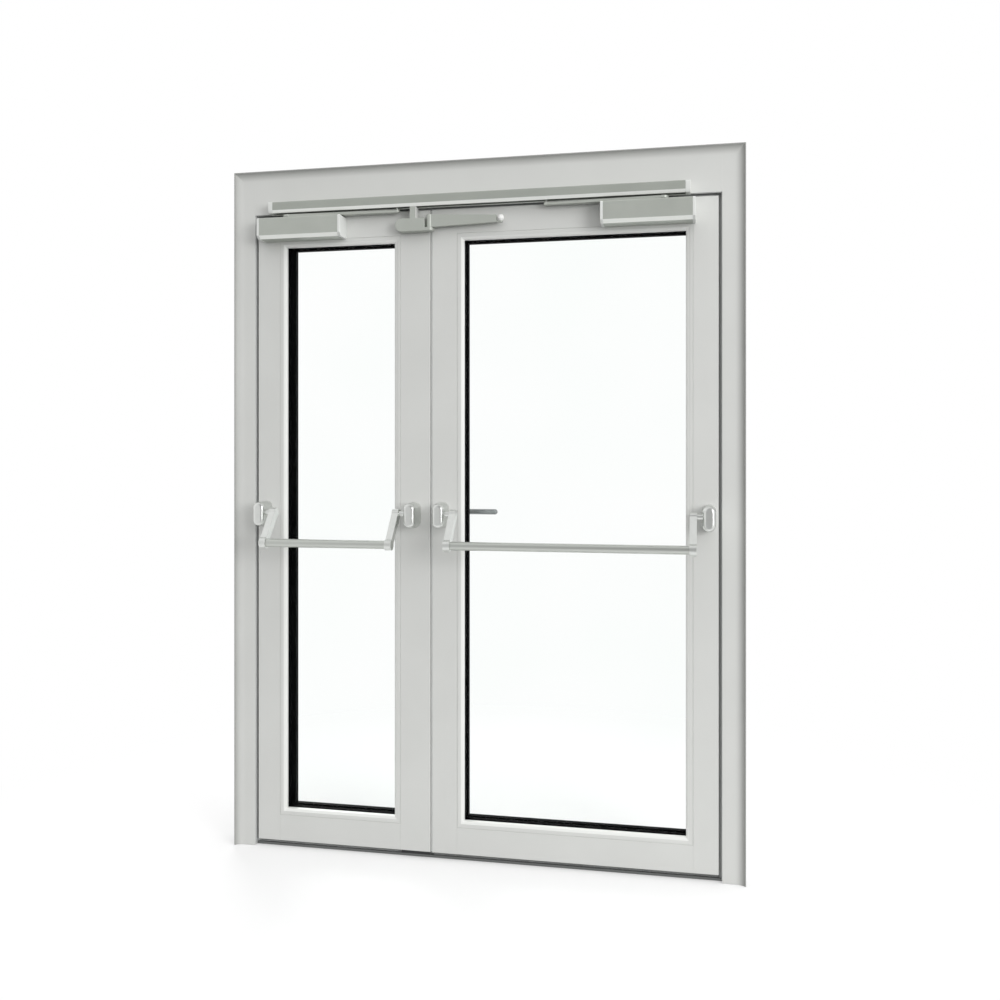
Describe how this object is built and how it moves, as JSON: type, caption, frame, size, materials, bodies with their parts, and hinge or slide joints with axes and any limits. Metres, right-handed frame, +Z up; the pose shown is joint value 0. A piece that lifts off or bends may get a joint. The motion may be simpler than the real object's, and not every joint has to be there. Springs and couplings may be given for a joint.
{
  "type": "double emergency exit door",
  "caption": "Glazed two-leaf emergency exit door in its frame, with push bars, overhead closers on a guide rail and an outside lever.",
  "frame": {"origin": "on the floor, at the middle of the frame's width and depth, under the threshold", "axes": "+X to the right seen from the push side, +Y away from the push side (the way the leaves open), +Z up"},
  "size_m": [1.5656, 0.256, 2.1138],
  "materials": {
    "powder_coat": "satin light grey powder coat",
    "glass": "clear",
    "black_rubber": "matt",
    "grey_rubber": "matt",
    "silver_hardware": "satin silver",
    "light_plastic": "satin",
    "white_plastic": "gloss",
    "black_plastic": "matt",
    "silver_cast": "satin silver",
    "anodised_tube": "satin anodised",
    "dark_threshold": "dark anodised",
    "steel": "brushed"
  },
  "bodies": {
    "frame": {"frame_head": "powder_coat", "jamb_left": "powder_coat", "jamb_right": "powder_coat", "threshold": "dark_threshold", "stop_gasket": "grey_rubber", "trim_left": "powder_coat", "trim_right": "powder_coat", "trim_head": "powder_coat", "guide_rail": "silver_hardware", "rail_caps": "light_plastic", "hinge_knuckles_left": "steel", "hinge_knuckles_right": "steel", "selector_block": "silver_hardware"},
    "selector_arm": {"selector_arm": "silver_hardware", "selector_roller": "white_plastic"},
    "left_leaf": {"l_hinge_stile": "powder_coat", "l_meeting_stile": "powder_coat", "l_top_rail": "powder_coat", "l_bottom_rail": "powder_coat", "l_beads": "powder_coat", "l_glass": "glass", "l_spacer": "black_rubber", "l_gasket": "black_rubber", "l_bottom_seal": "black_rubber", "l_meeting_seal": "grey_rubber", "l_hinges": "steel", "l_closer": "silver_hardware", "l_closer_caps": "light_plastic", "l_housings": "silver_cast", "l_keep": "steel", "l_bolt_guides": "black_plastic"},
    "left_closer_arm": {"l_arm": "silver_hardware", "l_arm_roller": "black_plastic"},
    "left_push_bar": {"l_levers": "silver_cast", "l_bar": "anodised_tube"},
    "top_bolt": {"l_bolt_top": "steel"},
    "bottom_bolt": {"l_bolt_bottom": "steel"},
    "right_leaf": {"r_hinge_stile": "powder_coat", "r_meeting_stile": "powder_coat", "r_top_rail": "powder_coat", "r_bottom_rail": "powder_coat", "r_beads": "powder_coat", "r_glass": "glass", "r_spacer": "black_rubber", "r_gasket": "black_rubber", "r_bottom_seal": "black_rubber", "r_meeting_seal": "grey_rubber", "r_hinges": "steel", "r_closer": "silver_hardware", "r_closer_caps": "light_plastic", "r_housings": "silver_cast", "r_lock": "steel", "r_rose": "steel", "r_cylinder": "steel"},
    "right_closer_arm": {"r_arm": "silver_hardware", "r_arm_roller": "black_plastic"},
    "right_push_bar": {"r_levers": "silver_cast", "r_bar": "anodised_tube"},
    "outside_lever": {"r_handle": "steel"},
    "latch": {"r_latch": "steel"}
  },
  "joints": [
    {"name": "left_leaf_swing", "type": "hinge", "parent": "frame", "child": "left_leaf", "pos_m": [-0.7285, 0.047, 1], "axis": [0, 0, 1], "range_deg": [0, 90]},
    {"name": "right_leaf_swing", "type": "hinge", "parent": "frame", "child": "right_leaf", "pos_m": [0.7285, 0.047, 1], "axis": [0, 0, -1], "range_deg": [0, 90]},
    {"name": "left_arm_turn", "type": "hinge", "parent": "left_leaf", "child": "left_closer_arm", "pos_m": [-0.5965, -0.062, 1.961], "axis": [0, 0, -1], "range_deg": [0, 134]},
    {"name": "right_arm_turn", "type": "hinge", "parent": "right_leaf", "child": "right_closer_arm", "pos_m": [0.5525, -0.062, 1.961], "axis": [0, 0, 1], "range_deg": [0, 146]},
    {"name": "selector_turn", "type": "hinge", "parent": "frame", "child": "selector_arm", "pos_m": [-0.145, -0.054, 1.93], "axis": [0, 0, 1], "range_deg": [0, 30.5]},
    {"name": "left_bar_push", "type": "hinge", "parent": "left_leaf", "child": "left_push_bar", "pos_m": [-0.45, -0.078, 1.05], "axis": [1, 0, 0], "range_deg": [0, 18], "stiffness_Nm_per_rad": 8, "springref_deg": -14.32},
    {"name": "right_bar_push", "type": "hinge", "parent": "right_leaf", "child": "right_push_bar", "pos_m": [0.28, -0.078, 1.05], "axis": [1, 0, 0], "range_deg": [0, 18], "stiffness_Nm_per_rad": 8, "springref_deg": -17.19},
    {"name": "top_bolt_slide", "type": "slide", "parent": "left_leaf", "child": "top_bolt", "axis": [0, 0, -1], "range_m": [0, 0.02]},
    {"name": "bottom_bolt_slide", "type": "slide", "parent": "left_leaf", "child": "bottom_bolt", "axis": [0, 0, 1], "range_m": [0, 0.02]},
    {"name": "latch_slide", "type": "slide", "parent": "right_leaf", "child": "latch", "axis": [1, 0, 0], "range_m": [0, 0.008]},
    {"name": "lever_turn", "type": "hinge", "parent": "right_leaf", "child": "outside_lever", "pos_m": [-0.10975, 0.06, 1.05], "axis": [0, 1, 0], "range_deg": [0, 45], "stiffness_Nm_per_rad": 1.2, "springref_deg": -22.92}
  ],
  "couplings": [
    {"joint": "left_arm_turn", "follows": "left_leaf_swing", "ratio": 1.469},
    {"joint": "right_arm_turn", "follows": "right_leaf_swing", "ratio": 1.605},
    {"joint": "selector_turn", "follows": "right_leaf_swing", "ratio": 0.333},
    {"joint": "top_bolt_slide", "follows": "left_bar_push", "m_per_rad": 0.0605},
    {"joint": "bottom_bolt_slide", "follows": "left_bar_push", "m_per_rad": 0.0605},
    {"joint": "latch_slide", "follows": "right_bar_push", "m_per_rad": 0.0239}
  ]
}
